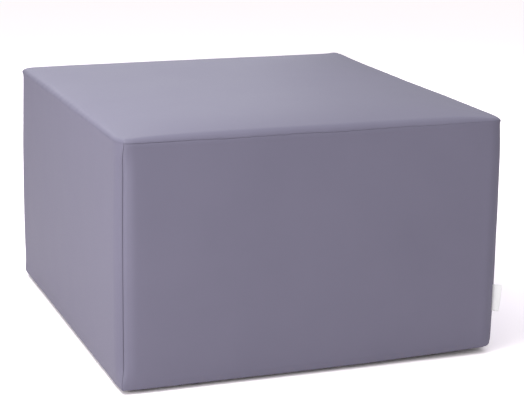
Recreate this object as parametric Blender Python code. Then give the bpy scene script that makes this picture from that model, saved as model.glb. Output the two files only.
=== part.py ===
"""A low square pouf: a filled body under a sewn cover of five panels, a base cloth and a label.

Metres, +Z up. The origin is the middle of the base, on the floor, and the front faces -Y.
"""

import math

import bmesh
import bpy
from mathutils import Matrix, Vector

# The pouf as a whole.
WIDTH = 0.650  # between the left and the right side
DEPTH = 0.686  # between the front and the back
CROWN_HEIGHT = 0.418  # floor to the middle of the top
CROWN_RISE = 0.014  # the middle of the top stands this far above its edges
CROWN_POWER = 6  # higher is flatter in the middle and steeper near the edges
FRONT_FULLER = 0.003  # the top stands this much higher over its front edge
FULLER_ENDS = 12  # higher brings that closer to the corners
CORNER_POWER = 5  # higher keeps the rise of a top corner nearer to it
CORNER_RADIUS = 0.026  # upright corners, seen from above
CORNER_BULGE = 0.0034  # upright corners swell out at mid height
FACE_BULGE = 0.0028  # the middle of a side swells out this much more
BULGE_POWER = 2.7  # higher is flatter in the middle and steeper near the seams
BULGE_LOW = 0.69  # under 1 the fullest place lies lower than halfway
ROLL_WAVE = 0.0005  # the seam under the top edge's roll runs a little uneven
FOOT_RADIUS = 0.005  # bottom edge
FOOT_TURN_IN = 0.003  # strip of each side panel under the pouf
FOOT_REACH = 0.022  # from the bottom edge to where its corners are round again

# Seams.
SEAM_DEPTH = 0.0016  # channel in which two panels meet, where it is fully open
SEAM_REACH = 0.0065  # from the seam to where the panel is full again
SHOULDER_WIDTH = 0.040  # from an upright seam to where a side is no longer drawn in beside it

# Cloth and gaps.
COVER_THICKNESS = 0.002
BASE_THICKNESS = 0.002
GAP = 0.0003  # between two pieces

# Folded label in the front right corner seam.
LABEL_BOTTOM = 0.0735
LABEL_LENGTH = 0.0465
LABEL_STANDS_OUT = 0.0138
LABEL_LAYER = 0.0010
LABEL_LAYER_SPACE = 0.0006
LABEL_SEAT_DEPTH = 0.0006  # its sewn end lies this deep in the channel
LABEL_LEAN = 0.0015  # its free end is bent this far towards the back
LABEL_NARROWER = 0.2  # its lower end stands out this much less

# Where the mesh lines of a panel lie: first round its curved edge, then across its flat half.
CURVE_SHARES = (0.0, 0.10, 0.25, 0.48, 0.74, 1.0)
FLAT_SHARES = (0.05, 0.20, 0.42, 0.70, 1.0)

# Rows of a side panel from the base seam to the top seam:
# degrees turned under the foot, share of the turned-in strip, share of the wall's height.
SIDE_ROWS = (
    (90, 1.0, 0.0),
    (90, 0.0, 0.0),
    (60, 0.0, 0.0),
    (30, 0.0, 0.0),
    (0, 0.0, 0.0),
    (0, 0.0, 0.10),
    (0, 0.0, 0.28),
    (0, 0.0, 0.50),
    (0, 0.0, 0.72),
    (0, 0.0, 0.88),
    (0, 0.0, 0.955),
    (0, 0.0, 0.984),
    (0, 0.0, 0.9945),
    (0, 0.0, 1.0),
)

# Rings of the base from its seam inwards: metres from the seam, share of the bottom edge's lift.
BASE_RINGS = (
    (0.000, 1.00),
    (0.005, 0.90),
    (0.011, 0.55),
    (0.017, 0.20),
    (0.023, 0.03),
    (0.028, 0.00),
)

# The sides, each the one before it turned by 90 degrees. The top panel rolls over their edges.
# Three values each, at the side's left corner, middle and right corner seen from outside: radius of
# the roll, how far its seam lies under the edge of the top, how open the channel of that seam is,
# and how far the bottom edge clears the floor, because the base swells down inside it.
SIDES = (
    ("front", (0.0100, 0.0112, 0.0220), (0.0048, 0.0056, 0.0035), (0.5, 0.2, 0.0), (0.0062, 0.0057, 0.0112)),
    ("right", (0.0220, 0.0400, 0.0300), (0.0035, 0.0056, 0.0034), (0.5, 0.6, 0.5), (0.0112, 0.0090, 0.0090)),
    ("back", (0.0300, 0.0400, 0.0150), (0.0034, 0.0065, 0.0060), (0.5, 0.6, 0.1), (0.0090, 0.0090, 0.0062)),
    ("left", (0.0150, 0.0150, 0.0100), (0.0060, 0.0048, 0.0048), (0.1, 0.0, 0.1), (0.0062, 0.0072, 0.0062)),
)

# The corners, each the left one of its side. First the point of cover at the top: how far the round
# upright corner is drawn out to a sharp one and how far down that reaches, how the very point is
# pulled and how far that reaches, how far the top rises or sinks to it. Then how far a side is drawn in
# beside the upright seam at the top and further down, and how far the first of these reaches. Last,
# how far the round corner is drawn out to a sharp one at the bottom.
CORNERS = (
    ("front", (0.50, 0.024), (0.0034, -0.0014, 0.0), 0.016, 0.0, (0.0015, 0.0015, 0.04), 0.80),
    ("right", (0.25, 0.090), (0.0012, -0.0012, 0.0), 0.005, -0.0012, (0.0, -0.0020, 0.04), 0.15),
    ("back", (0.35, 0.020), (-0.0060, 0.0, 0.0014), 0.018, 0.0043, (0.0, 0.0, 0.04), 0.40),
    ("left", (0.10, 0.020), (-0.0052, 0.0040, -0.0006), 0.008, 0.0014, (0.0020, -0.0011, 0.17), 0.80),
)

# Worked out from the sizes above.
HALF = WIDTH / 2  # everything is laid out square and then stretched from front to back
DEEPER = DEPTH / WIDTH
FLAT_HALF = HALF - CORNER_RADIUS
CORNER_RUN = CORNER_RADIUS * math.pi / 4  # from an upright seam to the flat of the side
HALF_RUN = FLAT_HALF + CORNER_RUN
CURVE_LINES = len(CURVE_SHARES) - 1
HALF_LINES = CURVE_LINES + len(FLAT_SHARES)
LINES = 2 * HALF_LINES
QUARTER = math.pi / 2
TOP_PIECE, BASE_PIECE = len(SIDES), len(SIDES) + 1  # the side panels are pieces 0 to 3


def cover_material(name, colour, roughness):
    material = bpy.data.materials.new(name)
    material.use_nodes = True
    shader = material.node_tree.nodes["Principled BSDF"]
    shader.inputs["Base Color"].default_value = (*colour, 1.0)
    shader.inputs["Roughness"].default_value = roughness
    shader.inputs["Metallic"].default_value = 0.0
    return material


def line_shares():
    """Where the lines across a panel lie, from -1 at one seam to 1 at the other."""
    falling = [1 - CORNER_RUN * share / HALF_RUN for share in CURVE_SHARES]
    falling += [FLAT_HALF * (1 - share) / HALF_RUN for share in FLAT_SHARES]
    return [-share for share in falling] + falling[-2::-1]


def outline(along):
    """Point and outward direction on the front side, `along` metres from its middle."""
    turn = max(abs(along) - FLAT_HALF, 0.0) / CORNER_RADIUS
    sign = math.copysign(1.0, along)
    x = min(abs(along), FLAT_HALF) + CORNER_RADIUS * math.sin(turn)
    y = CORNER_RADIUS * (1 - math.cos(turn)) - HALF
    return Vector((sign * x, y, 0.0)), Vector((sign * math.sin(turn), -math.cos(turn), 0.0))


def to_sharp(along):
    """The move from the front side's round corners, seen from above, to sharp ones."""
    over = max(abs(along) - FLAT_HALF, 0.0)
    turn = over / CORNER_RADIUS
    x = over * 4 / math.pi - CORNER_RADIUS * math.sin(turn)
    return Vector((math.copysign(x, along), CORNER_RADIUS * (math.cos(turn) - 1), 0.0))


def fading(distance, reach):
    return math.exp(-((distance / reach) ** 2))


def corner_near(share, side):
    """The row of the corner that a place on a side is nearer to."""
    return CORNERS[(side + (share > 0)) % len(CORNERS)]


def front_fullness(point, side):
    """How much higher the top stands here because it is fuller over its front edge."""
    place = turned(point, side) / HALF
    return FRONT_FULLER * max(-place.y, 0.0) ** CROWN_POWER * (1 - place.x**FULLER_ENDS)


def top_height(point, side):
    """Height of the crowned top."""
    across, along = abs(point.x / HALF), abs(point.y / HALF)
    crown = CROWN_RISE * (1 - (1 - across**CROWN_POWER) * (1 - along**CROWN_POWER))
    _, _, _, _, rise, _, _ = corner_near(point.x, side)
    return CROWN_HEIGHT - crown + rise * (across * along) ** CORNER_POWER + front_fullness(point, side)


def along_side(values, share):
    """A value run smoothly from a side's left corner over its middle to its right corner."""
    left, middle, right = values
    return middle + ((left if share < 0 else right) - middle) * share**2


def roll_size(share, side):
    """Radius of the roll over the top edge, and how far it turns down to its seam."""
    _, radii, drops, _, _ = SIDES[side]
    wave = math.sin(11 * share + 2.1 * side) + 0.6 * math.sin(23 * share + 1.3 * side)
    radius = along_side(radii, share)
    edge, _ = outline(share * HALF_RUN)
    drop = along_side(drops, share) + front_fullness(edge, side) + ROLL_WAVE * wave * (1 - share**2)
    return radius, math.acos(1 - drop / radius)


def seam_height(share, side):
    """Height of the seam between the top and a side."""
    radius, turn = roll_size(share, side)
    edge, _ = outline(share * HALF_RUN)
    return top_height(edge, side) - radius * (1 - math.cos(turn))


def foot_top(share, side):
    """Height at which the curve of the bottom edge runs into the wall of a side."""
    _, _, _, _, lifts = SIDES[side]
    return along_side(lifts, share) + FOOT_RADIUS


def raised(outward, elevation):
    return outward * math.cos(elevation) + Vector((0.0, 0.0, math.sin(elevation)))


def nearness(distance):
    """1 in a seam, 0 where the panel is full again."""
    return max(0.0, 1 - distance / SEAM_REACH)


def seam_shift(from_top_seam, share, side, above=False):
    """How far the cover stands out (+) or is drawn in (-) near its seams."""
    from_upright_seam = HALF_RUN * (1 - abs(share))
    near_top = nearness(from_top_seam) ** 2
    shows = near_top if above else 1.0
    _, _, _, openness, _ = SIDES[side]
    top = near_top * along_side(openness, share)
    upright = nearness(from_upright_seam) ** 2 * shows
    drawn_in = SEAM_DEPTH * (top + upright - top * upright)
    _, _, _, _, _, (high, low, reach), _ = corner_near(share, side)
    shoulder = low + (high - low) * fading(from_top_seam, reach)
    shoulder *= max(0.0, 1 - from_upright_seam / SHOULDER_WIDTH) ** 2
    return -drawn_in - shoulder * shows


def drawn_out(point, share, from_top_seam, from_foot, side):
    """The point with the corners near it drawn out."""
    _, (sharp, sharp_reach), pull, pull_reach, _, _, foot_sharp = corner_near(share, side)
    sharp = sharp * fading(from_top_seam, sharp_reach) + foot_sharp * fading(from_foot, FOOT_REACH)
    pulling = fading(math.hypot(from_top_seam, HALF_RUN * (1 - abs(share))), pull_reach)
    return point + to_sharp(share * HALF_RUN) * sharp + turned(Vector(pull), -side) * pulling


def side_point(share, row, side):
    """Point of a side panel's outer face.

    At its top seam the cover is drawn in along the line that halves the angle between the panels.
    """
    under, turn_in, rise = row
    under = math.radians(under)
    point, outward = outline(share * HALF_RUN)
    foot = foot_top(share, side)
    wall = seam_height(share, side) - foot
    from_top = wall * (1 - rise)
    fullness = 1 - abs(2 * rise**BULGE_LOW - 1) ** BULGE_POWER
    swell = fullness * (CORNER_BULGE + FACE_BULGE * (1 - share**2))
    inset = FOOT_RADIUS * (1 - math.cos(under)) + FOOT_TURN_IN * turn_in
    half_angle = (QUARTER - roll_size(share, side)[1]) / 2
    direction = raised(outward, half_angle * nearness(from_top))
    point += outward * (swell - inset)
    point.z = foot - FOOT_RADIUS * math.sin(under) + wall * rise
    point += direction * seam_shift(from_top, share, side) * math.cos(under)
    return drawn_out(point, share, from_top, wall * rise, side)


def top_point(share, ring, side):
    """Point of the top panel's outer face, on the given ring counted inwards from its seam."""
    radius, turn = roll_size(share, side)
    edge, outward = outline(share * HALF_RUN)
    rolled = CURVE_SHARES[min(ring, CURVE_LINES)]
    slope = turn * (1 - rolled)
    point = edge - outward * radius * (math.sin(turn) - math.sin(slope))
    if ring > CURVE_LINES:
        point *= 1 - FLAT_SHARES[ring - CURVE_LINES - 1]
    point.z = top_height(point, side) - radius * (1 - math.cos(slope))
    if ring > CURVE_LINES:
        from_seam = radius * turn + HALF * FLAT_SHARES[ring - CURVE_LINES - 1]
        return drawn_out(point, share, from_seam, point.z, side)
    from_seam = radius * turn * rolled
    half_angle = (QUARTER - turn) / 2
    direction = raised(outward, QUARTER - slope - half_angle * nearness(from_seam))
    point += direction * seam_shift(from_seam, share, side, above=True)
    return drawn_out(point, share, from_seam, point.z, side)


def turned(point, side):
    return Matrix.Rotation(side * QUARTER, 3, "Z") @ point


def side_grid(side):
    """Rows of points of one side panel, from the base seam up."""
    return [[turned(side_point(share, row, side), side) for share in line_shares()] for row in SIDE_ROWS]


def top_grid():
    """Rows of points of the top panel, from the front to the back."""
    shares = line_shares()

    def point(column, row):
        ring = min(column, LINES - column, row, LINES - row)
        across = shares[column] / abs(shares[ring]) if ring < HALF_LINES else 0.0
        along = shares[row] / abs(shares[ring]) if ring < HALF_LINES else 0.0
        if row == ring:
            side, share = 0, across
        elif column == LINES - ring:
            side, share = 1, along
        elif row == LINES - ring:
            side, share = 2, -across
        else:
            side, share = 3, -along
        return turned(top_point(share, ring, side), side)

    return [[point(column, row) for column in range(LINES + 1)] for row in range(LINES + 1)]


def base_ring(from_seam, lift_share):
    """Points once round the base, anticlockwise seen from above."""
    inset = FOOT_RADIUS + FOOT_TURN_IN
    scale = 1 - from_seam / (HALF - inset)
    points = []
    for side in range(len(SIDES)):
        for share in line_shares()[:-1]:
            point, outward = outline(share * HALF_RUN)
            point = (point - outward * inset) * scale
            point.z = (foot_top(share, side) - FOOT_RADIUS) * lift_share
            points.append(turned(drawn_out(point, share, CROWN_HEIGHT, from_seam, side), side))
    return points


def add_grid(skin, grid, piece):
    """Adds a grid of points to the skin as triangles that face outwards, marked as one piece.

    The cells are split towards the corners, where the cloth is pulled to a point.
    """
    rows = [[skin.verts.new(point) for point in row] for row in grid]
    middle_row, middle_column = (len(rows) - 1) / 2, (len(rows[0]) - 1) / 2
    for number, (low, high) in enumerate(zip(rows, rows[1:])):
        for left in range(len(low) - 1):
            right = left + 1
            if (number < middle_row) == (left < middle_column):
                halves = (low[left], low[right], high[right]), (low[left], high[right], high[left])
            else:
                halves = (low[left], low[right], high[left]), (low[right], high[right], high[left])
            for half in halves:
                skin.faces.new(half).material_index = piece


def add_base(skin, piece):
    """Adds the outer face of the base: rings that come down to one flat face on the floor."""
    rings = [[skin.verts.new(point) for point in base_ring(*row)] for row in BASE_RINGS]
    for outer, inner in zip(rings, rings[1:]):
        for here in range(len(outer)):
            after = (here + 1) % len(outer)
            face = skin.faces.new((outer[here], inner[here], inner[after], outer[after]))
            face.material_index = piece
    skin.faces.new(rings[-1][::-1]).material_index = piece


def outer_skin():
    """The whole outer face of the pouf as one closed mesh, each face marked with its piece."""
    skin = bmesh.new()
    for side in range(len(SIDES)):
        add_grid(skin, side_grid(side), side)
    add_grid(skin, top_grid(), TOP_PIECE)
    add_base(skin, BASE_PIECE)
    bmesh.ops.remove_doubles(skin, verts=skin.verts, dist=GAP / 3)
    for vert in skin.verts:
        vert.co.y *= DEEPER
    skin.normal_update()
    return skin


def sunk(vert, depth):
    """A point of the skin moved into the pouf, so that the faces round it move by the depth."""
    return vert.co - vert.normal * vert.calc_shell_factor() * depth


def placed_object(name, mesh, material):
    """Turns a bmesh into a named object with its material, shaded smooth."""
    mesh.normal_update()
    data = bpy.data.meshes.new(name)
    mesh.to_mesh(data)
    mesh.free()
    data.materials.append(material)
    data.shade_smooth()
    data.set_sharp_from_angle(angle=math.radians(50))
    obj = bpy.data.objects.new(name, data)
    bpy.context.scene.collection.objects.link(obj)
    return obj


def border_pull(vert, own):
    """The move that takes a point on a piece's border a gap away from its seams."""
    inwards = []
    for edge in vert.link_edges:
        mine = [face for face in edge.link_faces if face in own]
        if len(mine) == 1:
            along = (edge.other_vert(vert).co - vert.co).normalized()
            into = mine[0].calc_center_median() - vert.co
            inwards.append((into - along * into.dot(along)).normalized())
    if not inwards:
        return Vector()
    mean = sum(inwards, Vector()) / len(inwards)
    return mean * GAP / mean.length_squared


def cloth_piece(name, skin, piece, thickness, material):
    """One piece of cloth: its share of the skin, as thick as the cloth, clear of its neighbours."""
    faces = [face for face in skin.faces if face.material_index == piece]
    own = set(faces)
    mesh = bmesh.new()
    outer, inner = {}, {}
    for face in faces:
        for vert in face.verts:
            if vert not in outer:
                pull = border_pull(vert, own)
                outer[vert] = mesh.verts.new(vert.co + pull)
                inner[vert] = mesh.verts.new(sunk(vert, thickness) + pull)
    for face in faces:
        mesh.faces.new([outer[vert] for vert in face.verts])
        mesh.faces.new([inner[vert] for vert in reversed(face.verts)])
        for loop in face.loops:
            if loop.link_loop_radial_next.face not in own:
                here, after = loop.vert, loop.link_loop_next.vert
                mesh.faces.new((outer[after], outer[here], inner[here], inner[after]))
    return placed_object(name, mesh, material)


def filled_body(skin, material):
    """The filled solid under the cover, a cloth's thickness and a gap inside it."""
    mesh = skin.copy()
    depth = COVER_THICKNESS + GAP
    places = [sunk(vert, depth) for vert in mesh.verts]
    for vert, place in zip(mesh.verts, places):
        vert.co = place
    for face in mesh.faces:
        face.material_index = 0
    return placed_object("filled_body", mesh, material)


def label_section():
    """Outline of the folded tape seen from above: x runs out of the seam, y across the tape."""
    fold = LABEL_LAYER_SPACE / 2
    skin = fold + LABEL_LAYER
    tip = LABEL_STANDS_OUT - skin
    turns = [math.radians(90 - 30 * step) for step in range(7)]
    outer = [(tip + skin * math.cos(turn), skin * math.sin(turn)) for turn in turns]
    inner = [(tip + fold * math.cos(turn), fold * math.sin(turn)) for turn in reversed(turns)]
    sewn = -LABEL_SEAT_DEPTH
    return [(sewn, skin), *outer, (sewn, -skin), (sewn, -fold), *inner, (sewn, fold)]


def label(material):
    """The folded tape, following the corner seam from which it stands out."""
    mesh = bmesh.new()
    out = Vector((1.0, -1.0, 0.0)).normalized()
    back = Vector((1.0, 1.0, 0.0)).normalized()
    loops = []
    for step in range(5):
        height = LABEL_BOTTOM + LABEL_LENGTH * step / 4
        rise = (height - foot_top(1.0, 0)) / (seam_height(1.0, 0) - foot_top(1.0, 0))
        seam = side_point(1.0, (0, 0.0, rise), 0)
        seam.y *= DEEPER
        seam += out * SEAM_DEPTH
        loop = []
        reach = 1 - LABEL_NARROWER * (1 - step / 4) ** 2
        for x, y in label_section():
            bend = LABEL_LEAN * (max(x, 0.0) / LABEL_STANDS_OUT) ** 2
            place = seam + out * x * reach + back * (y + bend)
            place.z = height
            loop.append(mesh.verts.new(place))
        loops.append(loop)
    for low, high in zip(loops, loops[1:]):
        for here in range(len(low)):
            after = (here + 1) % len(low)
            mesh.faces.new((low[here], low[after], high[after], high[here]))
    mesh.faces.new(loops[0])
    mesh.faces.new(loops[-1])
    bmesh.ops.recalc_face_normals(mesh, faces=mesh.faces)
    return placed_object("label", mesh, material)


def main():
    for obj in list(bpy.data.objects):
        bpy.data.objects.remove(obj)
    leather = cover_material("lilac grey faux leather", (0.20, 0.19, 0.265), 0.45)
    filling = cover_material("filled body", (0.22, 0.21, 0.27), 0.8)
    closing = cover_material("dark base cloth", (0.03, 0.03, 0.035), 0.9)
    tape = cover_material("white label tape", (0.85, 0.85, 0.84), 0.7)
    skin = outer_skin()
    filled_body(skin, filling)
    cloth_piece("top_panel", skin, TOP_PIECE, COVER_THICKNESS, leather)
    for side, (name, *_) in enumerate(SIDES):
        cloth_piece(name + "_panel", skin, side, COVER_THICKNESS, leather)
    cloth_piece("base_cloth", skin, BASE_PIECE, BASE_THICKNESS, closing)
    skin.free()
    label(tape)


main()
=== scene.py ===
import math

import bmesh
import bpy
import numpy as np
from mathutils import Matrix, Vector


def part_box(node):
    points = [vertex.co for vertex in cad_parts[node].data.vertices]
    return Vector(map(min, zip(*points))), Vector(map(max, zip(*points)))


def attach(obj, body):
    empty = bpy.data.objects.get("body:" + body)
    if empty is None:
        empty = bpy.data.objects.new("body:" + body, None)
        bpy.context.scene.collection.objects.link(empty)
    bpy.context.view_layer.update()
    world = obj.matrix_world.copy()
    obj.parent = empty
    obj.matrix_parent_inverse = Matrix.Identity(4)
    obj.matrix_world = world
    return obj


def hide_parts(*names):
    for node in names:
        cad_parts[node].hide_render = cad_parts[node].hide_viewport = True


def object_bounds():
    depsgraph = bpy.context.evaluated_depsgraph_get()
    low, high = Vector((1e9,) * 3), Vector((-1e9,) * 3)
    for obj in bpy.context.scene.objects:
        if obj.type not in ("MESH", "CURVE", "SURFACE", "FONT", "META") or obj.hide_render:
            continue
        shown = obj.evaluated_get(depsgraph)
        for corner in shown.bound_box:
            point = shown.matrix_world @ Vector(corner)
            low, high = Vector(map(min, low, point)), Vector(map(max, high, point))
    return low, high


# Cube pouf in faux leather. Metres, +Z up, the front panel faces -Y.

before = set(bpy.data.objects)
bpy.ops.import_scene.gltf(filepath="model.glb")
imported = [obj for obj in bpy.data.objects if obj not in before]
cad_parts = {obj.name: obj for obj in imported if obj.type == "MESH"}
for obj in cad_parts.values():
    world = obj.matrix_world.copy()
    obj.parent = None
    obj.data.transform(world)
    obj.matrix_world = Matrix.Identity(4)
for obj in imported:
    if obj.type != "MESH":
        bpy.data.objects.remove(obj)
cadLow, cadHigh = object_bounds()
print("frame loaded,", len(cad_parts), "nodes, CAD box", [round(edge, 4) for edge in cadHigh - cadLow])

quarterTurn = math.pi / 2

# The pouf's shape, the same as its CAD solids have.
pouf = {
    "crownHeight": cadHigh.z,
    "crownRise": 0.014,  # middle of the top over its edges
    "crownPower": 6,  # higher is flatter in the middle
    "frontFuller": 0.003,  # the top stands this much higher over its front edge
    "fullerEnds": 12,  # higher brings that closer to the corners
    "cornerPower": 5,  # higher keeps the rise of a top corner nearer to it
    "cornerRadius": 0.026,  # upright corners, seen from above
    "cornerBulge": 0.0034,  # upright corners swell out at mid height
    "faceBulge": 0.0028,  # middle of a side swells out this much more
    "bulgePower": 2.7,  # higher is flatter in the middle and steeper near the seams
    "bulgeLow": 0.69,  # under 1 the fullest place lies lower than halfway
    "footRadius": 0.005,  # bottom edge
    "footTurnIn": 0.003,  # strip of a side panel under the pouf
    "baseSlope": 0.028,  # from the base seam to where the base lies on the floor
}
sideReach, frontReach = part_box("right_panel")[1].x, -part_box("front_panel")[0].y
pouf["half"] = sideReach - pouf["cornerBulge"] - pouf["faceBulge"]
pouf["depthShare"] = frontReach / sideReach  # the pouf is a little deeper than wide

# The edges of each side: radius of the top panel's roll, how far its seam lies under the edge of the
# top, how open the groove of that seam is, which also sets how dark the painted shade in that seam is,
# and how far the bottom edge clears the floor. Three values each: at the side's left corner, middle and
# right corner, seen from outside.
sideEdges = {
    "front": {"radius": (0.0100, 0.0112, 0.0220), "drop": (0.0048, 0.0056, 0.0035),
              "groove": (0.50, 0.20, 0.04), "lift": (0.0062, 0.0057, 0.0112)},
    "right": {"radius": (0.0220, 0.0400, 0.0300), "drop": (0.0035, 0.0056, 0.0034),
              "groove": (0.50, 0.60, 0.50), "lift": (0.0112, 0.0090, 0.0090)},
    "back": {"radius": (0.0300, 0.0400, 0.0150), "drop": (0.0034, 0.0065, 0.0060),
             "groove": (0.50, 0.60, 0.10), "lift": (0.0090, 0.0090, 0.0062)},
    "left": {"radius": (0.0150, 0.0150, 0.0100), "drop": (0.0060, 0.0048, 0.0048),
             "groove": (0.10, 0.02, 0.05), "lift": (0.0062, 0.0072, 0.0062)},
}
edgeTable = {key: np.array([row[key] for row in sideEdges.values()]) for key in sideEdges["front"]}

# The seam under the roll runs a little uneven: how far each wave swings, how many radians of it lie
# between a side's middle and its corner, and how far it is turned from one side to the next.
rollWaves = (
    {"depth": 0.0005, "radians": 11, "turned": 2.1},
    {"depth": 0.0003, "radians": 23, "turned": 1.3},
    {"depth": 0.0003, "radians": 61, "turned": 1.7},
    {"depth": 0.00024, "radians": 97, "turned": 2.9},
)

# The corners. At the top: share by which the round upright corner is drawn out to a sharp one and how
# far down that reaches, how far the top rises or sinks to the corner, and how far the very point is
# pulled along x, y and z and how far that reaches. Foot: share by which the round corner is drawn out
# to a sharp one at the bottom. Shoulder: how far the cover is drawn in beside the upright seam at the
# top and further down, and how far the first of these reaches.
corners = {
    "frontLeft": {
        "sharp": 0.50, "sharpReach": 0.024, "rise": 0.0, "pull": (0.0034, -0.0014, 0.0),
        "pullReach": 0.016, "foot": 0.8, "shoulderTop": 0.0015, "shoulder": 0.0015, "shoulderReach": 0.04,
    },
    "frontRight": {
        "sharp": 0.25, "sharpReach": 0.090, "rise": -0.0012, "pull": (0.0012, -0.0012, 0.0),
        "pullReach": 0.005, "foot": 0.15, "shoulderTop": 0.0, "shoulder": -0.0020, "shoulderReach": 0.04,
    },
    "backRight": {
        "sharp": 0.35, "sharpReach": 0.020, "rise": 0.0043, "pull": (-0.0060, 0.0, 0.0014),
        "pullReach": 0.018, "foot": 0.4, "shoulderTop": 0.0, "shoulder": 0.0, "shoulderReach": 0.04,
    },
    "backLeft": {
        "sharp": 0.10, "sharpReach": 0.020, "rise": 0.0014, "pull": (-0.0052, 0.0040, -0.0006),
        "pullReach": 0.008, "foot": 0.8, "shoulderTop": 0.0020, "shoulder": -0.0011, "shoulderReach": 0.17,
    },
}
cornerTable = {key: np.array([row[key] for row in corners.values()]) for key in corners["frontLeft"]}
shoulderWidth = 0.040  # from an upright seam to where the cover is full again
footReach = 0.022  # from the bottom edge to where its corners are round again

# How the cover is drawn in at its seams.
seam = {
    "gap": 0.00015,  # each panel stops this short of the seam line
    "drawDepth": 0.0008,  # broad soft hollow
    "drawReach": 0.0090,
    "lipDepth": 0.0010,  # turned edge of the leather, down into the seam
    "lipRadius": 0.0012,
    "allowance": 0.0068,  # the turned-in edge shows through as a low step this far away
    "allowanceRise": 0.00018,
    "allowanceEnd": 0.0012,  # width over which the step falls
    "uprightGroove": 0.6,  # how open the grooves of the upright seams are, and how dark their painted shade is
}
farAway = 1.0  # stands for a seam that is too far off to show

# Mesh lines of a panel, counted from its seam: finest at the seam, widest in the open.
meshLines = {"first": 0.00035, "growth": 1.14, "widest": 0.0037, "footSteps": 12, "wallStep": 0.0050}


def spacedFrom(length, first, growth, widest):
    places, step = [0.0], first
    while places[-1] < length:
        places.append(places[-1] + step)
        step = min(step * growth, widest)
    return np.array(places) * length / places[-1]


half = pouf["half"]
flatHalf = half - pouf["cornerRadius"]
cornerRun = pouf["cornerRadius"] * math.pi / 4  # over the round of a corner, up to its seam
halfRun = flatHalf + cornerRun


def outline(along):
    # front side seen from above: point and outward direction
    turn = np.maximum(np.abs(along) - flatHalf, 0) / pouf["cornerRadius"]
    sign = np.sign(along)
    zero = np.zeros_like(along)
    x = sign * (np.minimum(np.abs(along), flatHalf) + pouf["cornerRadius"] * np.sin(turn))
    y = pouf["cornerRadius"] * (1 - np.cos(turn)) - half
    return np.stack([x, y, zero], -1), np.stack([sign * np.sin(turn), -np.cos(turn), zero], -1)


def toSharp(along):
    # from the front side's round corners, seen from above, to sharp ones
    over = np.maximum(np.abs(along) - flatHalf, 0)
    turn = over / pouf["cornerRadius"]
    x = np.sign(along) * (over * 4 / math.pi - pouf["cornerRadius"] * np.sin(turn))
    return np.stack([x, -pouf["cornerRadius"] * (1 - np.cos(turn)), np.zeros_like(along)], -1)


def cornerAt(key, share, side):
    # the value of the corner that a place on a side is nearer to
    return cornerTable[key][(side + (share > 0)) % len(corners)]


def fading(distance, reach):
    return np.exp(-((distance / reach) ** 2))


def frontFullness(point, side):
    # what the top stands higher towards its front edge
    x, y, _ = np.moveaxis(turnedBy(point, side) / half, -1, 0)
    return pouf["frontFuller"] * np.clip(-y, 0, None) ** pouf["crownPower"] * (1 - x ** pouf["fullerEnds"])


def topHeight(point, side):
    # of the top panel before it rolls over its edges
    across, along = np.abs(point[..., 0] / half), np.abs(point[..., 1] / half)
    crown = pouf["crownRise"] * (1 - (1 - across ** pouf["crownPower"]) * (1 - along ** pouf["crownPower"]))
    corner = cornerAt("rise", point[..., 0], side) * (across * along) ** pouf["cornerPower"]
    return pouf["crownHeight"] - crown + corner + frontFullness(point, side)


def alongSide(key, share, side):
    # a value run smoothly from a side's left corner over its middle to the right one
    left, middle, right = np.moveaxis(edgeTable[key][side], -1, 0)
    return middle + (np.where(share < 0, left, right) - middle) * share**2


def footTop(share, side):
    return alongSide("lift", share, side) + pouf["footRadius"]


def fromUpright(share):
    return halfRun * (1 - np.abs(share))


def rollSize(share, side):
    # radius of the roll over the top edge and how far it turns down to the seam
    wave = sum(row["depth"] * np.sin(row["radians"] * share + row["turned"] * side) for row in rollWaves)
    radius = alongSide("radius", share, side)
    edge, _ = outline(share * halfRun)
    drop = alongSide("drop", share, side) + frontFullness(edge, side) + wave * (1 - share**2)
    return radius, np.arccos(1 - drop / radius)


def seamHeight(share, side):
    radius, turn = rollSize(share, side)
    edge, _ = outline(share * halfRun)
    return topHeight(edge, side) - radius * (1 - np.cos(turn))


def raised(outward, elevation):
    direction = outward * np.cos(elevation)[..., None]
    direction[..., 2] = np.sin(elevation)
    return direction


def either(a, b):
    return a + b - a * b


def eased(share):
    return share**2 * (3 - 2 * share)


def nearSeam(distance):
    # from 1 at a seam to 0 where its hollow ends
    return np.clip(1 - distance / seam["drawReach"], 0, 1)


def seamShift(fromTop, share, side, uprightShows=1.0):
    # how far the cover stands out (+) or is drawn in (-) near its seams
    def hollow(distance):
        return nearSeam(distance) ** 2

    def lip(distance):
        return 1 - np.sqrt(1 - np.clip(1 - distance / seam["lipRadius"], 0, 1) ** 2)

    def allowance(distance):
        rising = np.clip(distance / seam["lipRadius"] - 1, 0, 1)
        falling = np.clip((seam["allowance"] - distance) / seam["allowanceEnd"] + 1, 0, 1)
        return eased(rising) * eased(falling)

    away = fromUpright(share)
    openness = alongSide("groove", share, side)
    drawn = seam["drawDepth"] * either(hollow(fromTop) * openness, hollow(away) * uprightShows)
    upright = lip(away) * uprightShows * seam["uprightGroove"]
    turned = seam["lipDepth"] * either(lip(fromTop) * openness, upright)
    stepped = seam["allowanceRise"] * either(allowance(fromTop), allowance(away) * uprightShows)
    top, lower = cornerAt("shoulderTop", share, side), cornerAt("shoulder", share, side)
    shoulder = lower + (top - lower) * fading(fromTop, cornerAt("shoulderReach", share, side))
    shoulder *= np.clip(1 - away / shoulderWidth, 0, 1) ** 2
    return stepped - drawn - turned - shoulder * uprightShows


def turnedBy(vectors, side):
    turn = side * quarterTurn
    cos, sin = np.cos(turn), np.sin(turn)
    x, y, z = vectors[..., 0], vectors[..., 1], vectors[..., 2]
    return np.stack([x * cos - y * sin, x * sin + y * cos, z], -1)


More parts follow.
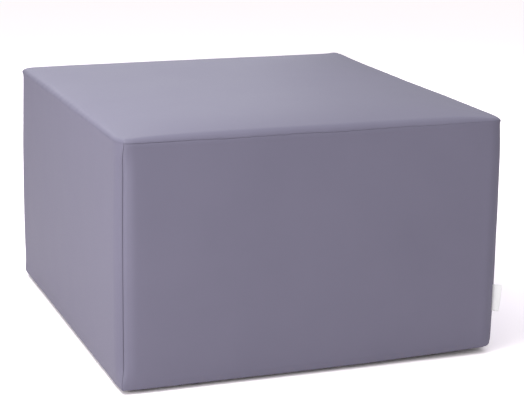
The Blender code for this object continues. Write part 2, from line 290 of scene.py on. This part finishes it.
def placed(points, side, share, fromTop, fromFoot):
    # a side's points in their real place, with the corners drawn out
    sharp = cornerAt("sharp", share, side) * fading(fromTop, cornerAt("sharpReach", share, side))
    sharp = sharp + cornerAt("foot", share, side) * fading(fromFoot, footReach)
    points = turnedBy(points + toSharp(share * halfRun) * sharp[..., None], side)
    pulling = fading(np.hypot(fromTop, fromUpright(share)), cornerAt("pullReach", share, side))
    pull = cornerAt("pull", share, side) * pulling[..., None]
    return points * np.array([1, pouf["depthShare"], 1]) + pull


seamLines = spacedFrom(halfRun, meshLines["first"], meshLines["growth"], meshLines["widest"])
halfLines = len(seamLines) - 1  # from a seam to the middle of a panel
lineShares = np.concatenate([seamLines - halfRun, (halfRun - seamLines)[-2::-1]]) / halfRun


def sidePoint(share, under, turnIn, rise, side):
    # under: radians turned under the foot, turnIn: share of the strip below, rise: share of the wall
    _, turn = rollSize(share, side)
    point, outward = outline(share * halfRun)
    wall = seamHeight(share, side) - footTop(share, side)
    fromTop = wall * (1 - rise)
    fullness = 1 - np.abs(2 * rise ** pouf["bulgeLow"] - 1) ** pouf["bulgePower"]
    swell = fullness * (pouf["cornerBulge"] + pouf["faceBulge"] * (1 - share**2))
    inset = pouf["footRadius"] * (1 - np.cos(under)) + pouf["footTurnIn"] * turnIn
    # at the top seam the cover is drawn in along the line that halves the angle between its panels
    direction = raised(outward, (quarterTurn - turn) / 2 * nearSeam(fromTop) - under)
    shift = seamShift(fromTop, share, side) * np.cos(under)
    point = point + outward * (swell - inset)[..., None] + direction * shift[..., None]
    point[..., 2] += footTop(share, side) - pouf["footRadius"] * np.sin(under) + wall * rise
    return placed(point, side, share, fromTop, wall * rise), turnedBy(direction, side), fromTop


def paintedGrooveShade(share, side, fromTop, away):
    # how strongly painted shade darkens the groove of the nearest seam
    return np.where(away < fromTop, seam["uprightGroove"], alongSide("groove", share, side))


def sidePatch(side):
    # rows from the base seam up, columns from the left corner to the right one
    steps = meshLines["footSteps"]
    under = np.concatenate([[1, 1], np.linspace(1, 0, steps)[1:]]) * quarterTurn
    turnIn = np.concatenate([[1, 0.5], np.zeros(steps - 1)])
    wall = pouf["crownHeight"] - pouf["crownRise"]  # near enough to space the rows
    spaces = spacedFrom(wall, meshLines["first"], meshLines["growth"], meshLines["wallStep"])
    rises = 1 - spaces[::-1] / wall
    rises[-1] = 1 - seam["gap"] / wall
    under = np.concatenate([under, np.zeros(len(rises) - 1)])
    turnIn = np.concatenate([turnIn, np.zeros(len(rises) - 1)])
    rise = np.concatenate([np.zeros(steps + 1), rises[1:]])
    shares = lineShares * (1 - seam["gap"] / halfRun)
    share, under = np.meshgrid(shares, under)
    turnIn, rise = (np.repeat(column[:, None], len(shares), 1) for column in (turnIn, rise))
    sides = np.full(share.shape, side)
    point, outward, fromTop = sidePoint(share, under, turnIn, rise, sides)
    away = fromUpright(share)
    return {
        "point": point,
        "outward": outward,
        "groove": paintedGrooveShade(share, sides, fromTop, away),
        "fromTop": fromTop,
        "alongTop": (share + 2 * side) * halfRun,
        "fromUpright": away,
        "alongUpright": point[..., 2] + (side + (share > 0)) % len(corners),  # no two corners alike
    }


def squareGrid():
    # rows from the front to the back: ring inwards, side it belongs to and share along that side
    last = len(lineShares) - 1
    row, column = np.mgrid[0 : last + 1, 0 : last + 1]
    ring = np.minimum.reduce([column, last - column, row, last - row])
    scale = np.abs(lineShares[ring])
    scale[ring == halfLines] = 1  # the very middle
    across, along = lineShares[column] / scale, lineShares[row] / scale
    front = row == ring
    right = ~front & (column == last - ring)
    back = ~front & ~right & (row == last - ring)
    side = np.select([front, right, back], [0, 1, 2], 3)
    share = np.select([front, right, back], [across, along, -across], -along)
    return ring, side, share


def topPatch():
    ring, side, share = squareGrid()
    share = share * (1 - seam["gap"] / halfRun)
    radius, turn = rollSize(share, side)
    edge, outward = outline(share * halfRun)
    fromTop = np.maximum(seamLines[ring], seam["gap"])
    slope = np.maximum(turn - fromTop / radius, 0)
    direction = raised(outward, quarterTurn - slope - (quarterTurn - turn) / 2 * nearSeam(fromTop))
    shift = seamShift(fromTop, share, side, nearSeam(fromTop) ** 2)
    point = edge - outward * (radius * (np.sin(turn) - np.sin(slope)))[..., None]
    point *= 1 - np.clip((fromTop - radius * turn) / (halfRun - radius * turn), 0, 1)[..., None]
    point[..., 2] = topHeight(point, side) - radius * (1 - np.cos(slope))
    point += direction * shift[..., None]
    return {
        "point": placed(point, side, share, fromTop, farAway),
        "outward": turnedBy(direction, side),
        "groove": paintedGrooveShade(share, side, fromTop, halfRun),
        "fromTop": fromTop,
        "alongTop": (share + 2 * side) * halfRun,
        "fromUpright": np.full(share.shape, farAway),
        "alongUpright": np.zeros(share.shape),
    }


def basePatch():
    ring, side, share = squareGrid()
    inset = pouf["footRadius"] + pouf["footTurnIn"]
    point, outward = outline(share * halfRun)
    fromSeam = np.maximum(seamLines[ring], seam["gap"])
    point = (point - outward * inset) * (1 - fromSeam / halfRun)[..., None]
    slope = np.clip(1 - fromSeam / pouf["baseSlope"], 0, 1)
    point[..., 2] = alongSide("lift", share, side) * eased(slope)
    down = np.zeros(point.shape)
    down[..., 2] = -1
    return {
        "point": placed(point, side, share, farAway, fromSeam),
        "outward": down,
        "groove": np.zeros(share.shape),
        "fromTop": np.full(share.shape, farAway),
        "alongTop": np.zeros(share.shape),
        "fromUpright": np.full(share.shape, farAway),
        "alongUpright": np.zeros(share.shape),
    }


def linkedObject(name, data):
    made = bpy.data.objects.new(name, data)
    bpy.context.scene.collection.objects.link(made)
    return made


def gridMesh(name, point, facingUp=True):
    rows, columns = point.shape[:2]
    here = np.arange(rows * columns).reshape(rows, columns)
    cells = [here[:-1, :-1], here[:-1, 1:], here[1:, 1:], here[1:, :-1]]
    faces = np.stack([cell.ravel() for cell in cells], -1)
    if not facingUp:
        faces = faces[:, ::-1]
    data = bpy.data.meshes.new(name)
    data.from_pydata(point.reshape(-1, 3).tolist(), [], faces.tolist())
    return data


def patchObject(name, patch, facingUp=True):
    data = gridMesh(name, patch["point"], facingUp)
    for key, values in patch.items():
        if key == "point":
            continue
        kind, field = ("FLOAT_VECTOR", "vector") if key == "outward" else ("FLOAT", "value")
        data.attributes.new(key, kind, "POINT").data.foreach_set(field, values.ravel())
    data.shade_smooth()
    return linkedObject(name, data)


def settled(obj, material=None):
    # the evaluated mesh takes the place of the object's modifiers
    evaluated = obj.evaluated_get(bpy.context.evaluated_depsgraph_get())
    data = bpy.data.meshes.new_from_object(evaluated)
    obj.modifiers.clear()
    old, obj.data = obj.data, data
    data.name = obj.name
    bpy.data.meshes.remove(old)
    if material:
        data.materials.clear()
        data.materials.append(material)


def fillSocket(tree, socket, value):
    if isinstance(value, bpy.types.NodeSocket):
        tree.links.new(value, socket)
    else:
        socket.default_value = value


def addNode(tree, kind, settings=None, **values):
    # values are given by the names of the node's inputs, run together in camelCase
    made = tree.nodes.new(kind)
    for name, value in (settings or {}).items():
        setattr(made, name, value)
    for name, value in values.items():
        socket = next(socket for socket in made.inputs
                      if socket.enabled and socket.name.replace(" ", "").lower() == name.lower())
        fillSocket(tree, socket, value)
    return made


def calc(tree, operation, a, b=0.0, c=0.0):
    made = addNode(tree, "ShaderNodeMath", {"operation": operation})
    for socket, value in zip(made.inputs, (a, b, c)):
        fillSocket(tree, socket, value)
    return made.outputs[0]


def vectorCalc(tree, operation, a, b):
    # b is a number where the operation is to scale
    made = addNode(tree, "ShaderNodeVectorMath", {"operation": operation})
    fillSocket(tree, made.inputs[0], a)
    fillSocket(tree, made.inputs["Scale" if operation == "SCALE" else 1], b)
    return made.outputs[0]


def newGroup(name, kind, inputs, outputs):
    tree = bpy.data.node_groups.new(name, kind)
    for title, socketKind, value in inputs:
        socket = tree.interface.new_socket(title, in_out="INPUT", socket_type="NodeSocket" + socketKind)
        if value is not None:
            socket.default_value = value
    for title, socketKind in outputs:
        tree.interface.new_socket(title, in_out="OUTPUT", socket_type="NodeSocket" + socketKind)
    return tree, tree.nodes.new("NodeGroupInput").outputs, tree.nodes.new("NodeGroupOutput").inputs


def geometryModifier(obj, tree, values):
    modifier = obj.modifiers.new(tree.name, "NODES")
    modifier.node_group = tree
    sockets = {item.name: item.identifier for item in tree.interface.items_tree if item.in_out == "INPUT"}
    for title, value in values.items():
        modifier[sockets[title]] = value


def finishTree(tree, geometry, material, result):
    real = addNode(tree, "GeometryNodeRealizeInstances", geometry=geometry)
    coloured = addNode(tree, "GeometryNodeSetMaterial", geometry=real.outputs[0], material=material)
    tree.links.new(coloured.outputs[0], result)


# Relief of the cover: soft unevenness and the small gathers along the seams.
relief = {
    "Unevenness": 0.0007,
    "Unevenness Size": 0.11,
    "Gather Depth": 0.00036,
    "Gather Size": 0.028,
    "Gather Reach": 0.013,
    "Upright Gather Depth": 0.0002,
    "Seed": 7.0,
    "Upright Seed": 38.0,
}


def reliefTree():
    inputs = [("Geometry", "Geometry", None), ("Material", "Material", None)]
    inputs += [(title, "Float", value) for title, value in relief.items()]
    tree, given, result = newGroup("coverRelief", "GeometryNodeTree", inputs, [("Geometry", "Geometry")])

    def attribute(name, kind="FLOAT"):
        made = addNode(tree, "GeometryNodeInputNamedAttribute", {"data_type": kind}, name=name)
        return made.outputs["Attribute"]

    def swinging(noise):
        # from -1 to 1
        return calc(tree, "MULTIPLY", calc(tree, "SUBTRACT", noise.outputs[0], 0.5), 2.0)

    def gathers(along, away, depth, seed):
        # short ridges across a seam that run out into the panel
        place = calc(tree, "ADD", calc(tree, "DIVIDE", attribute(along), given["Gather Size"]), given[seed])
        noise = addNode(tree, "ShaderNodeTexNoise", {"noise_dimensions": "1D"}, w=place, scale=1.0,
                        detail=1.5)
        near = calc(tree, "SUBTRACT", 1.0, calc(tree, "DIVIDE", attribute(away), given["Gather Reach"]))
        near = calc(tree, "POWER", calc(tree, "MAXIMUM", near, 0.0), 2.0)
        return calc(tree, "MULTIPLY", calc(tree, "MULTIPLY", swinging(noise), given[depth]), near)

    position = addNode(tree, "GeometryNodeInputPosition").outputs[0]
    place = vectorCalc(tree, "SCALE", position, calc(tree, "DIVIDE", 1.0, given["Unevenness Size"]))
    broad = addNode(tree, "ShaderNodeTexNoise", {"noise_dimensions": "4D"}, vector=place, w=given["Seed"],
                    scale=1.0, detail=1.0)
    total = calc(tree, "MULTIPLY", swinging(broad), given["Unevenness"])
    top = gathers("alongTop", "fromTop", "Gather Depth", "Seed")
    upright = gathers("alongUpright", "fromUpright", "Upright Gather Depth", "Upright Seed")
    total = calc(tree, "ADD", total, calc(tree, "ADD", top, upright))
    offset = vectorCalc(tree, "SCALE", attribute("outward", "FLOAT_VECTOR"), total)
    moved = addNode(tree, "GeometryNodeSetPosition", geometry=given["Geometry"], offset=offset)
    finishTree(tree, moved.outputs[0], given["Material"], result["Geometry"])
    return tree


def grainGroup():
    # fine pebbled grain with shallow creases, in object space
    inputs = [(title, "Float", 1.0) for title in ("Grain Size", "Crease Size", "Crease Share")]
    outputs = [("Height", "Float"), ("Pits", "Float")]
    tree, given, result = newGroup("leatherGrain", "ShaderNodeTree", inputs, outputs)
    place = addNode(tree, "ShaderNodeTexCoord").outputs["Object"]
    cells = addNode(tree, "ShaderNodeTexVoronoi", {"feature": "SMOOTH_F1"}, vector=place,
                    scale=calc(tree, "DIVIDE", 1.0, given["Grain Size"]), smoothness=0.6)
    creases = addNode(tree, "ShaderNodeTexNoise", vector=place, detail=4.0, roughness=0.6,
                      scale=calc(tree, "DIVIDE", 1.0, given["Crease Size"]))
    height = calc(tree, "SUBTRACT", 1.0, cells.outputs["Distance"])
    mixed = calc(tree, "MULTIPLY_ADD", creases.outputs[0], given["Crease Share"], height)
    tree.links.new(mixed, result["Height"])
    tree.links.new(calc(tree, "POWER", cells.outputs["Distance"], 2.0), result["Pits"])
    return tree


def toneGroup():
    # soft drift of tone over a surface, about 0.5
    inputs = [("Drift Size", "Float", 0.2), ("Contrast", "Float", 1.0)]
    tree, given, result = newGroup("toneDrift", "ShaderNodeTree", inputs, [("Tone", "Float")])
    place = addNode(tree, "ShaderNodeTexCoord").outputs["Object"]
    noise = addNode(tree, "ShaderNodeTexNoise", vector=place, detail=3.0, roughness=0.5,
                    scale=calc(tree, "DIVIDE", 1.0, given["Drift Size"]))
    swing = calc(tree, "MULTIPLY", calc(tree, "SUBTRACT", noise.outputs[0], 0.5), given["Contrast"])
    tree.links.new(calc(tree, "ADD", swing, 0.5), result["Tone"])
    return tree


def weaveGroup():
    # plain weave of threads at a pitch, in the plane of the two given coordinates
    inputs = [("Across", "Float", 0.0), ("Along", "Float", 0.0), ("Pitch", "Float", 0.001)]
    tree, given, result = newGroup("plainWeave", "ShaderNodeTree", inputs, [("Height", "Float")])
    a, b = (calc(tree, "MULTIPLY", calc(tree, "DIVIDE", given[way], given["Pitch"]), math.pi)
            for way in ("Across", "Along"))
    warpWave, weftWave = calc(tree, "SINE", a), calc(tree, "SINE", b)
    warp, weft = calc(tree, "ABSOLUTE", warpWave), calc(tree, "ABSOLUTE", weftWave)
    over = calc(tree, "GREATER_THAN", calc(tree, "MULTIPLY", warpWave, weftWave), 0.0)
    difference = calc(tree, "MULTIPLY", calc(tree, "SUBTRACT", warp, weft), over)
    tree.links.new(calc(tree, "ADD", weft, difference), result["Height"])
    return tree


def newMaterial(name, roughness):
    material = bpy.data.materials.new(name)
    material.use_nodes = True
    shader = material.node_tree.nodes["Principled BSDF"]
    shader.inputs["Roughness"].default_value = roughness
    return material, material.node_tree, shader


def mixColour(tree, share, a, b):
    made = addNode(tree, "ShaderNodeMix", {"data_type": "RGBA"})
    for socket, value in ((made.inputs["Factor"], share), (made.inputs[6], a), (made.inputs[7], b)):
        fillSocket(tree, socket, value)
    return made.outputs[2]


leather = {
    "colour": (0.206, 0.194, 0.272, 1),
    "deeper": (0.186, 0.176, 0.249, 1),  # the tone drifts between these two
    # painted shade of the seam grooves, and how far from a seam it reaches
    "seamShade": (0.115, 0.108, 0.152, 1),  # painted shade down in the seams, where the groove lies in shadow
    "shadeReach": 0.0009,
    "drift": 0.16,  # size of the patches in which the tone drifts
    "driftContrast": 1.4,
    "grainSize": 0.0011,
    "creaseSize": 0.006,
    "creaseShare": 0.35,  # of the height of the grain
    "grainHeight": 0.00006,
    "pitTone": 0.25,  # the pits of the grain are this much nearer to the deeper colour
    "pitRoughness": 0.10,
    "roughness": 0.46,
    "roughnessSwing": 0.08,  # with the drift of the tone
    "gloss": 0.38,
}


def leatherMaterial(groups):
    material, tree, shader = newMaterial("lilacGreyFauxLeather", leather["roughness"])
    grain = addNode(tree, "ShaderNodeGroup", {"node_tree": groups["grain"]}, grainSize=leather["grainSize"],
                    creaseSize=leather["creaseSize"], creaseShare=leather["creaseShare"])
    tone = addNode(tree, "ShaderNodeGroup", {"node_tree": groups["tone"]}, driftSize=leather["drift"],
                   contrast=leather["driftContrast"])
    colour = mixColour(tree, tone.outputs["Tone"], leather["deeper"], leather["colour"])
    pits = calc(tree, "MULTIPLY", grain.outputs["Pits"], leather["pitTone"])
    colour = mixColour(tree, pits, colour, leather["deeper"])
    # Painted shade in the seams: the colour darkens within a short reach of a seam, as much as the groove
    # value of the mesh says.
    away = [addNode(tree, "ShaderNodeAttribute", {"attribute_name": name}).outputs["Fac"]
            for name in ("fromTop", "fromUpright")]
    nearest = calc(tree, "MINIMUM", *away)
    near = calc(tree, "DIVIDE", nearest, leather["shadeReach"])
    near = calc(tree, "MAXIMUM", calc(tree, "SUBTRACT", 1.0, near), 0.0)
    groove = addNode(tree, "ShaderNodeAttribute", {"attribute_name": "groove"}).outputs["Fac"]
    near = calc(tree, "MULTIPLY", near, groove)
    colour = mixColour(tree, near, colour, leather["seamShade"])
    tree.links.new(colour, shader.inputs["Base Color"])
    swing = calc(tree, "SUBTRACT", tone.outputs["Tone"], 0.5)
    rough = calc(tree, "MULTIPLY_ADD", swing, leather["roughnessSwing"], leather["roughness"])
    rough = calc(tree, "MULTIPLY_ADD", grain.outputs["Pits"], leather["pitRoughness"], rough)
    tree.links.new(rough, shader.inputs["Roughness"])
    bump = addNode(tree, "ShaderNodeBump", height=grain.outputs["Height"], distance=leather["grainHeight"],
                   strength=1.0)
    tree.links.new(bump.outputs[0], shader.inputs["Normal"])
    shader.inputs["Specular IOR Level"].default_value = leather["gloss"]
    return material


# Woven finishes: colour of the threads and of the dark between them, pitch and height of the threads,
# size of the patches in which the tone drifts, and the coordinates that the threads follow.
weaves = {
    "fillingFabric": {
        "colour": (0.22, 0.21, 0.27, 1), "dark": (0.10, 0.10, 0.13, 1), "pitch": 0.0012,
        "height": 0.0001, "drift": 0.036, "coordinates": "Object", "roughness": 0.85,
    },
    # near black: partly the cloth's own colour, partly painted shade for the gap under the pouf's bottom
    # edge
    "closingCloth": {
        "colour": (0.035, 0.035, 0.04, 1), "dark": (0.012, 0.012, 0.014, 1), "pitch": 0.0009,
        "height": 0.0001, "drift": 0.027, "coordinates": "Object", "roughness": 0.85,
    },
    "wovenTape": {
        "colour": (0.99, 0.99, 0.99, 1), "dark": (0.93, 0.93, 0.94, 1), "pitch": 0.0005,
        "height": 0.00005, "drift": 0.015, "coordinates": "UV", "roughness": 0.6,
    },
}


def wovenMaterial(name, groups):
    look = weaves[name]
    material, tree, shader = newMaterial(name, look["roughness"])
    place = addNode(tree, "ShaderNodeTexCoord").outputs[look["coordinates"]]
    split = addNode(tree, "ShaderNodeSeparateXYZ", vector=place)
    weave = addNode(tree, "ShaderNodeGroup", {"node_tree": groups["weave"]}, across=split.outputs[0],
                    along=split.outputs[1], pitch=look["pitch"])
    tone = addNode(tree, "ShaderNodeGroup", {"node_tree": groups["tone"]}, driftSize=look["drift"],
                   contrast=1.0)
    share = calc(tree, "MULTIPLY", weave.outputs["Height"], calc(tree, "ADD", tone.outputs["Tone"], 0.5))
    tree.links.new(mixColour(tree, share, look["dark"], look["colour"]), shader.inputs["Base Color"])
    bump = addNode(tree, "ShaderNodeBump", height=weave.outputs["Height"], distance=look["height"],
                   strength=1.0)
    tree.links.new(bump.outputs[0], shader.inputs["Normal"])
    return material


thread = {"colour": (0.12, 0.115, 0.15, 1), "roughness": 0.6}


def threadMaterial():
    material, _, shader = newMaterial("seamThread", thread["roughness"])
    shader.inputs["Base Color"].default_value = thread["colour"]
    return material


cover = {"thickness": 0.0012, "held": "stretched"}


def clothPiece(name, patch, node, material, relieved=None, facingUp=True):
    piece = patchObject(name, patch, facingUp)
    if relieved:
        geometryModifier(piece, relieved, {**relief, "Material": material})
    thick = piece.modifiers.new("thickness", "SOLIDIFY")
    thick.thickness = cover["thickness"]
    thick.offset = -1
    thick.use_even_offset = True
    settled(piece, material)
    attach(piece, "root")
    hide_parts(node)
    return piece


filling = {
    "under": 0.0028,  # its face lies this deep under the cover's
    "fill": 0.95,
    "keepEvery": 3,  # it has every third mesh line of the cover
    "mergeGaps": 2.2,  # points along the seams that are within this many gaps of each other are made one
}


def thinned(values):
    rows, columns = (np.unique(np.append(np.arange(0, count, filling["keepEvery"]), count - 1))
                     for count in values.shape[:2])
    return values[np.ix_(rows, columns)]


def filledBody(patches, material):
    parts = []
    for name, patch in patches.items():
        part = {key: thinned(values) for key, values in patch.items()}
        parts.append(patchObject(name + "Filling", part, name != "base"))
    with bpy.context.temp_override(active_object=parts[0], selected_editable_objects=parts):
        bpy.ops.object.join()
    body = parts[0]
    body.name = body.data.name = "filledBody"
    skin = bmesh.new()
    skin.from_mesh(body.data)
    bmesh.ops.remove_doubles(skin, verts=skin.verts, dist=filling["mergeGaps"] * seam["gap"])
    bmesh.ops.recalc_face_normals(skin, faces=skin.faces)
    skin.normal_update()
    places = [vert.co - vert.normal * vert.calc_shell_factor() * filling["under"] for vert in skin.verts]
    for vert, place in zip(skin.verts, places):
        vert.co = place
    skin.to_mesh(body.data)
    skin.free()
    body.data.materials.clear()
    body.data.materials.append(material)
    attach(body, "root")
    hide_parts("filled_body")


stitchRuns = {
    "sink": 0.0009,  # the stitches lie this far under the bottom of the groove
    "alongPoints": 160,
    "upwardPoints": 110,
    "sides": 6,  # of one stitch
    "rings": 4,
}
stitching = {"Pitch": 0.004, "Length": 0.0016, "Thread": 0.0005, "Unevenness": 0.12, "Seed": 3}


def seamRuns():
    # each seam as a row of points with the outward direction
    runs = []
    along = np.linspace(-1, 1, stitchRuns["alongPoints"])
    upward = np.linspace(0, 1, stitchRuns["upwardPoints"])
    for side in range(len(sideEdges)):
        for share, rise in ((along, np.ones(along.shape)), (np.ones(upward.shape), upward)):
            none = np.zeros(share.shape)
            point, outward, _ = sidePoint(share, none, none, rise, np.full(share.shape, side))
            runs.append((point - outward * stitchRuns["sink"], outward))
    return runs


def stitchTree():
    inputs = [("Geometry", "Geometry", None), ("Material", "Material", None)]
    inputs += [(title, "Int" if title == "Seed" else "Float", value) for title, value in stitching.items()]
    tree, given, result = newGroup("seamStitches", "GeometryNodeTree", inputs, [("Geometry", "Geometry")])
    curve = addNode(tree, "GeometryNodeMeshToCurve", mesh=given["Geometry"])
    even = addNode(tree, "GeometryNodeResampleCurve", {"mode": "LENGTH"}, curve=curve.outputs[0],
                   length=given["Pitch"])
    outward = addNode(tree, "GeometryNodeInputNamedAttribute", {"data_type": "FLOAT_VECTOR"},
                      name="outward")
    along = addNode(tree, "GeometryNodeInputTangent").outputs[0]
    across = vectorCalc(tree, "CROSS_PRODUCT", outward.outputs["Attribute"], along)
    jitter = addNode(tree, "FunctionNodeRandomValue", {"data_type": "FLOAT_VECTOR"}, seed=given["Seed"])
    jitter = vectorCalc(tree, "SCALE", jitter.outputs[0], given["Unevenness"])
    leaning = vectorCalc(tree, "ADD", across, jitter)
    turn = addNode(tree, "FunctionNodeAlignRotationToVector", {"axis": "Z"}, vector=leaning)
    ball = addNode(tree, "GeometryNodeMeshUVSphere", segments=stitchRuns["sides"],
                   rings=stitchRuns["rings"], radius=0.5)
    size = addNode(tree, "ShaderNodeCombineXYZ", x=given["Thread"], y=given["Thread"], z=given["Length"])
    bar = addNode(tree, "GeometryNodeTransform", geometry=ball.outputs[0], scale=size.outputs[0])
    smooth = addNode(tree, "GeometryNodeSetShadeSmooth", geometry=bar.outputs[0])
    bars = addNode(tree, "GeometryNodeInstanceOnPoints", points=even.outputs[0], instance=smooth.outputs[0],
                   rotation=turn.outputs[0])
    finishTree(tree, bars.outputs[0], given["Material"], result["Geometry"])
    return tree


def seamStitches(material):
    points, edges, outwards = [], [], []
    for run, outward in seamRuns():
        first = len(points)
        points += run.tolist()
        outwards += outward.tolist()
        edges += [(first + n, first + n + 1) for n in range(len(run) - 1)]
    data = bpy.data.meshes.new("seamStitches")
    data.from_pydata(points, edges, [])
    data.attributes.new("outward", "FLOAT_VECTOR", "POINT").data.foreach_set("vector", np.ravel(outwards))
    stitches = linkedObject("seamStitches", data)
    geometryModifier(stitches, stitchTree(), {**stitching, "Material": material})
    settled(stitches)
    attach(stitches, "root")


label = {
    "bottom": 0.0737,
    "length": 0.0460,
    "standsOut": 0.0138,
    "layer": 0.0005,
    "apart": 0.0007,
    "lean": 0.0015,  # its free end is bent this far towards the back
    "narrower": 0.2,  # its lower end stands out this much less
    "seat": 0.0012,  # its sewn end lies this deep in the seam
    "belly": 0.0005,  # its two layers swell apart in the middle
    "ripple": 0.00035,  # its free end waves this far to and fro
    "rippleRadians": 7.0,  # of that wave over its length
    "steps": 26,
    "rows": 22,
    "foldSteps": 9,
}


def labelPiece(material):
    # tape seen from above: out of the seam along one layer, round the fold and back along the other
    fold = label["apart"] / 2
    run = label["standsOut"] - fold - label["layer"] / 2
    straight = np.linspace(-label["seat"], run, label["steps"])
    bend = np.linspace(quarterTurn, -quarterTurn, label["foldSteps"])[1:-1]
    x = np.concatenate([straight, run + fold * np.cos(bend), straight[::-1]])
    y = np.concatenate([np.full(label["steps"], fold), fold * np.sin(bend), np.full(label["steps"], -fold)])
    y = y + np.sign(y) * label["belly"] * np.sin(np.clip(x / run, 0, 1) * math.pi)
    heights = np.linspace(0, 1, label["rows"])
    z = label["bottom"] + label["length"] * heights
    one, none, front = np.ones(heights.shape), np.zeros(heights.shape), np.zeros(heights.shape, int)
    rises = (z - footTop(one, front)) / (seamHeight(one, front) - footTop(one, front))
    seamPoint, _, _ = sidePoint(one, none, none, rises, front)
    out, back = np.array([1, -1, 0]) / math.sqrt(2), np.array([1, 1, 0]) / math.sqrt(2)
    channel = seam["drawDepth"] + seam["lipDepth"]
    freeEnd = (np.clip(x, 0, None) / run) ** 2
    ripple = label["ripple"] * np.sin(heights * label["rippleRadians"])[:, None]
    across = y + (label["lean"] + ripple) * freeEnd
    reach = x * (1 - label["narrower"] * (1 - heights[:, None]) ** 2)
    point = (seamPoint + out * channel)[:, None] + out * reach[..., None] + back * across[..., None]
    point[..., 2] = z[:, None]
    length = np.concatenate([[0], np.cumsum(np.hypot(np.diff(x), np.diff(y)))])
    data = gridMesh("labelTape", point)
    flat = np.stack(np.broadcast_arrays(length[None], (label["length"] * heights)[:, None]), -1)
    vertexOf = np.empty(len(data.loops), int)
    data.loops.foreach_get("vertex_index", vertexOf)
    data.uv_layers.new(name="tape").data.foreach_set("uv", flat.reshape(-1, 2)[vertexOf].ravel())
    data.shade_smooth()
    tape = linkedObject("labelTape", data)
    thick = tape.modifiers.new("thickness", "SOLIDIFY")
    thick.thickness = label["layer"]
    thick.offset = 0
    settled(tape, material)
    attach(tape, "root")
    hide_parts("label")


# Metres, degrees, and millimetres for the lens and the sensor.
camera = {
    "place": (-0.95197, -2.6118, 0.91161),
    "azimuth": -20.678,
    "elevation": 14.392,
    "roll": 0.860,
    "lens": 110.648,
    "sensor": 36.0,
    "clipStart": 0.05,
    "clipEnd": 60,
}

studio = {
    "world": 0.584,
    "floor": (0.87, 0.825, 0.845, 1),
    "floorShown": 1.97,  # the floor looks this much lighter to the camera than it is to the light
    "floorRoughness": 0.8,
    "floorGloss": 0.2,
    "floorReach": 30,
    "aim": (0, 0, 0.2),
}

# Soft boxes, all aimed at the pouf: place, edge length, watts and colour, a little cooler behind it.
softBoxes = {
    "backHigh": {"place": (0.0, 1.3, 2.3), "size": 1.6, "power": 3.5, "colour": (0.87, 0.87, 1)},
    "backLow": {"place": (0.3, 2.4, 1.3), "size": 1.6, "power": 7.5, "colour": (0.87, 0.87, 1)},
    "backRight": {"place": (1.6, 0.9, 1.7), "size": 1.0, "power": 4.6, "colour": (0.87, 0.87, 1)},
    "backLeft": {"place": (-0.5, 2.3, 1.4), "size": 0.7, "power": 2.8, "colour": (0.87, 0.87, 1)},
    "leftFront": {"place": (-0.9, -0.5, 1.7), "size": 0.8, "power": 17.1, "colour": (1, 1, 1)},
    "cornerLow": {"place": (-2.0, -1.4, 0.8), "size": 1.0, "power": 15.7, "colour": (1, 1, 1)},
}


def makeCamera():
    made = linkedObject("camera", bpy.data.cameras.new("camera"))
    azimuth, elevation, roll = (math.radians(camera[key]) for key in ("azimuth", "elevation", "roll"))
    flatBack = Vector((math.sin(azimuth), -math.cos(azimuth), 0)) * math.cos(elevation)
    back = flatBack + Vector((0, 0, math.sin(elevation)))
    right = Vector((math.cos(azimuth), math.sin(azimuth), 0))
    up = back.cross(right)
    right, up = right * math.cos(roll) + up * math.sin(roll), up * math.cos(roll) - right * math.sin(roll)
    turned = Matrix((right, up, back)).transposed().to_4x4()
    made.matrix_world = Matrix.Translation(camera["place"]) @ turned
    made.data.sensor_width = camera["sensor"]
    made.data.sensor_fit = "HORIZONTAL"
    made.data.lens = camera["lens"]
    made.data.clip_start, made.data.clip_end = camera["clipStart"], camera["clipEnd"]
    bpy.context.scene.camera = made


def floorMaterial():
    material, tree, shader = newMaterial("paleFloor", studio["floorRoughness"])
    shader.inputs["Specular IOR Level"].default_value = studio["floorGloss"]
    seen = addNode(tree, "ShaderNodeLightPath").outputs["Is Camera Ray"]
    lighter = [channel * studio["floorShown"] for channel in studio["floor"][:3]] + [1]
    tree.links.new(mixColour(tree, seen, studio["floor"], lighter), shader.inputs["Base Color"])
    return material


def makeStudio():
    scene = bpy.context.scene
    world = scene.world = bpy.data.worlds.new("studio")
    world.use_nodes = True
    light = world.node_tree.nodes["Background"]
    light.inputs["Color"].default_value = (1, 1, 1, 1)
    light.inputs["Strength"].default_value = studio["world"]
    reach = studio["floorReach"]
    square = [(-reach, -reach, 0), (reach, -reach, 0), (reach, reach, 0), (-reach, reach, 0)]
    data = bpy.data.meshes.new("floor")
    data.from_pydata(square, [], [(0, 1, 2, 3)])
    data.materials.append(floorMaterial())
    linkedObject("floor", data)
    for name, box in softBoxes.items():
        made = linkedObject(name + "Light", bpy.data.lights.new(name + "Light", "AREA"))
        made.data.energy, made.data.size, made.data.color = box["power"], box["size"], box["colour"]
        made.location = box["place"]
        made.rotation_euler = (Vector(studio["aim"]) - made.location).to_track_quat("-Z", "Y").to_euler()
    scene.view_settings.view_transform = "Standard"


groups = {"grain": grainGroup(), "tone": toneGroup(), "weave": weaveGroup()}
finishes = {
    "leather": leatherMaterial(groups),
    "filling": wovenMaterial("fillingFabric", groups),
    "base": wovenMaterial("closingCloth", groups),
    "tape": wovenMaterial("wovenTape", groups),
    "thread": threadMaterial(),
}
print("materials made")

relieved = reliefTree()
patches = {name: sidePatch(side) for side, name in enumerate(sideEdges)}
patches["top"] = topPatch()
patches["base"] = basePatch()
filledBody(patches, finishes["filling"])
print("filled body made")
for name, patch in patches.items():
    if name == "base":
        piece = clothPiece("baseCloth", patch, "base_cloth", finishes["base"], None, False)
    else:
        piece = clothPiece(name + "Panel", patch, name + "_panel", finishes["leather"],
                           relieved)
    print(piece.name, "made,", len(piece.data.polygons), "faces")
seamStitches(finishes["thread"])
labelPiece(finishes["tape"])
print("stitches and label made")
makeCamera()
makeStudio()
print("camera, floor and lights made")
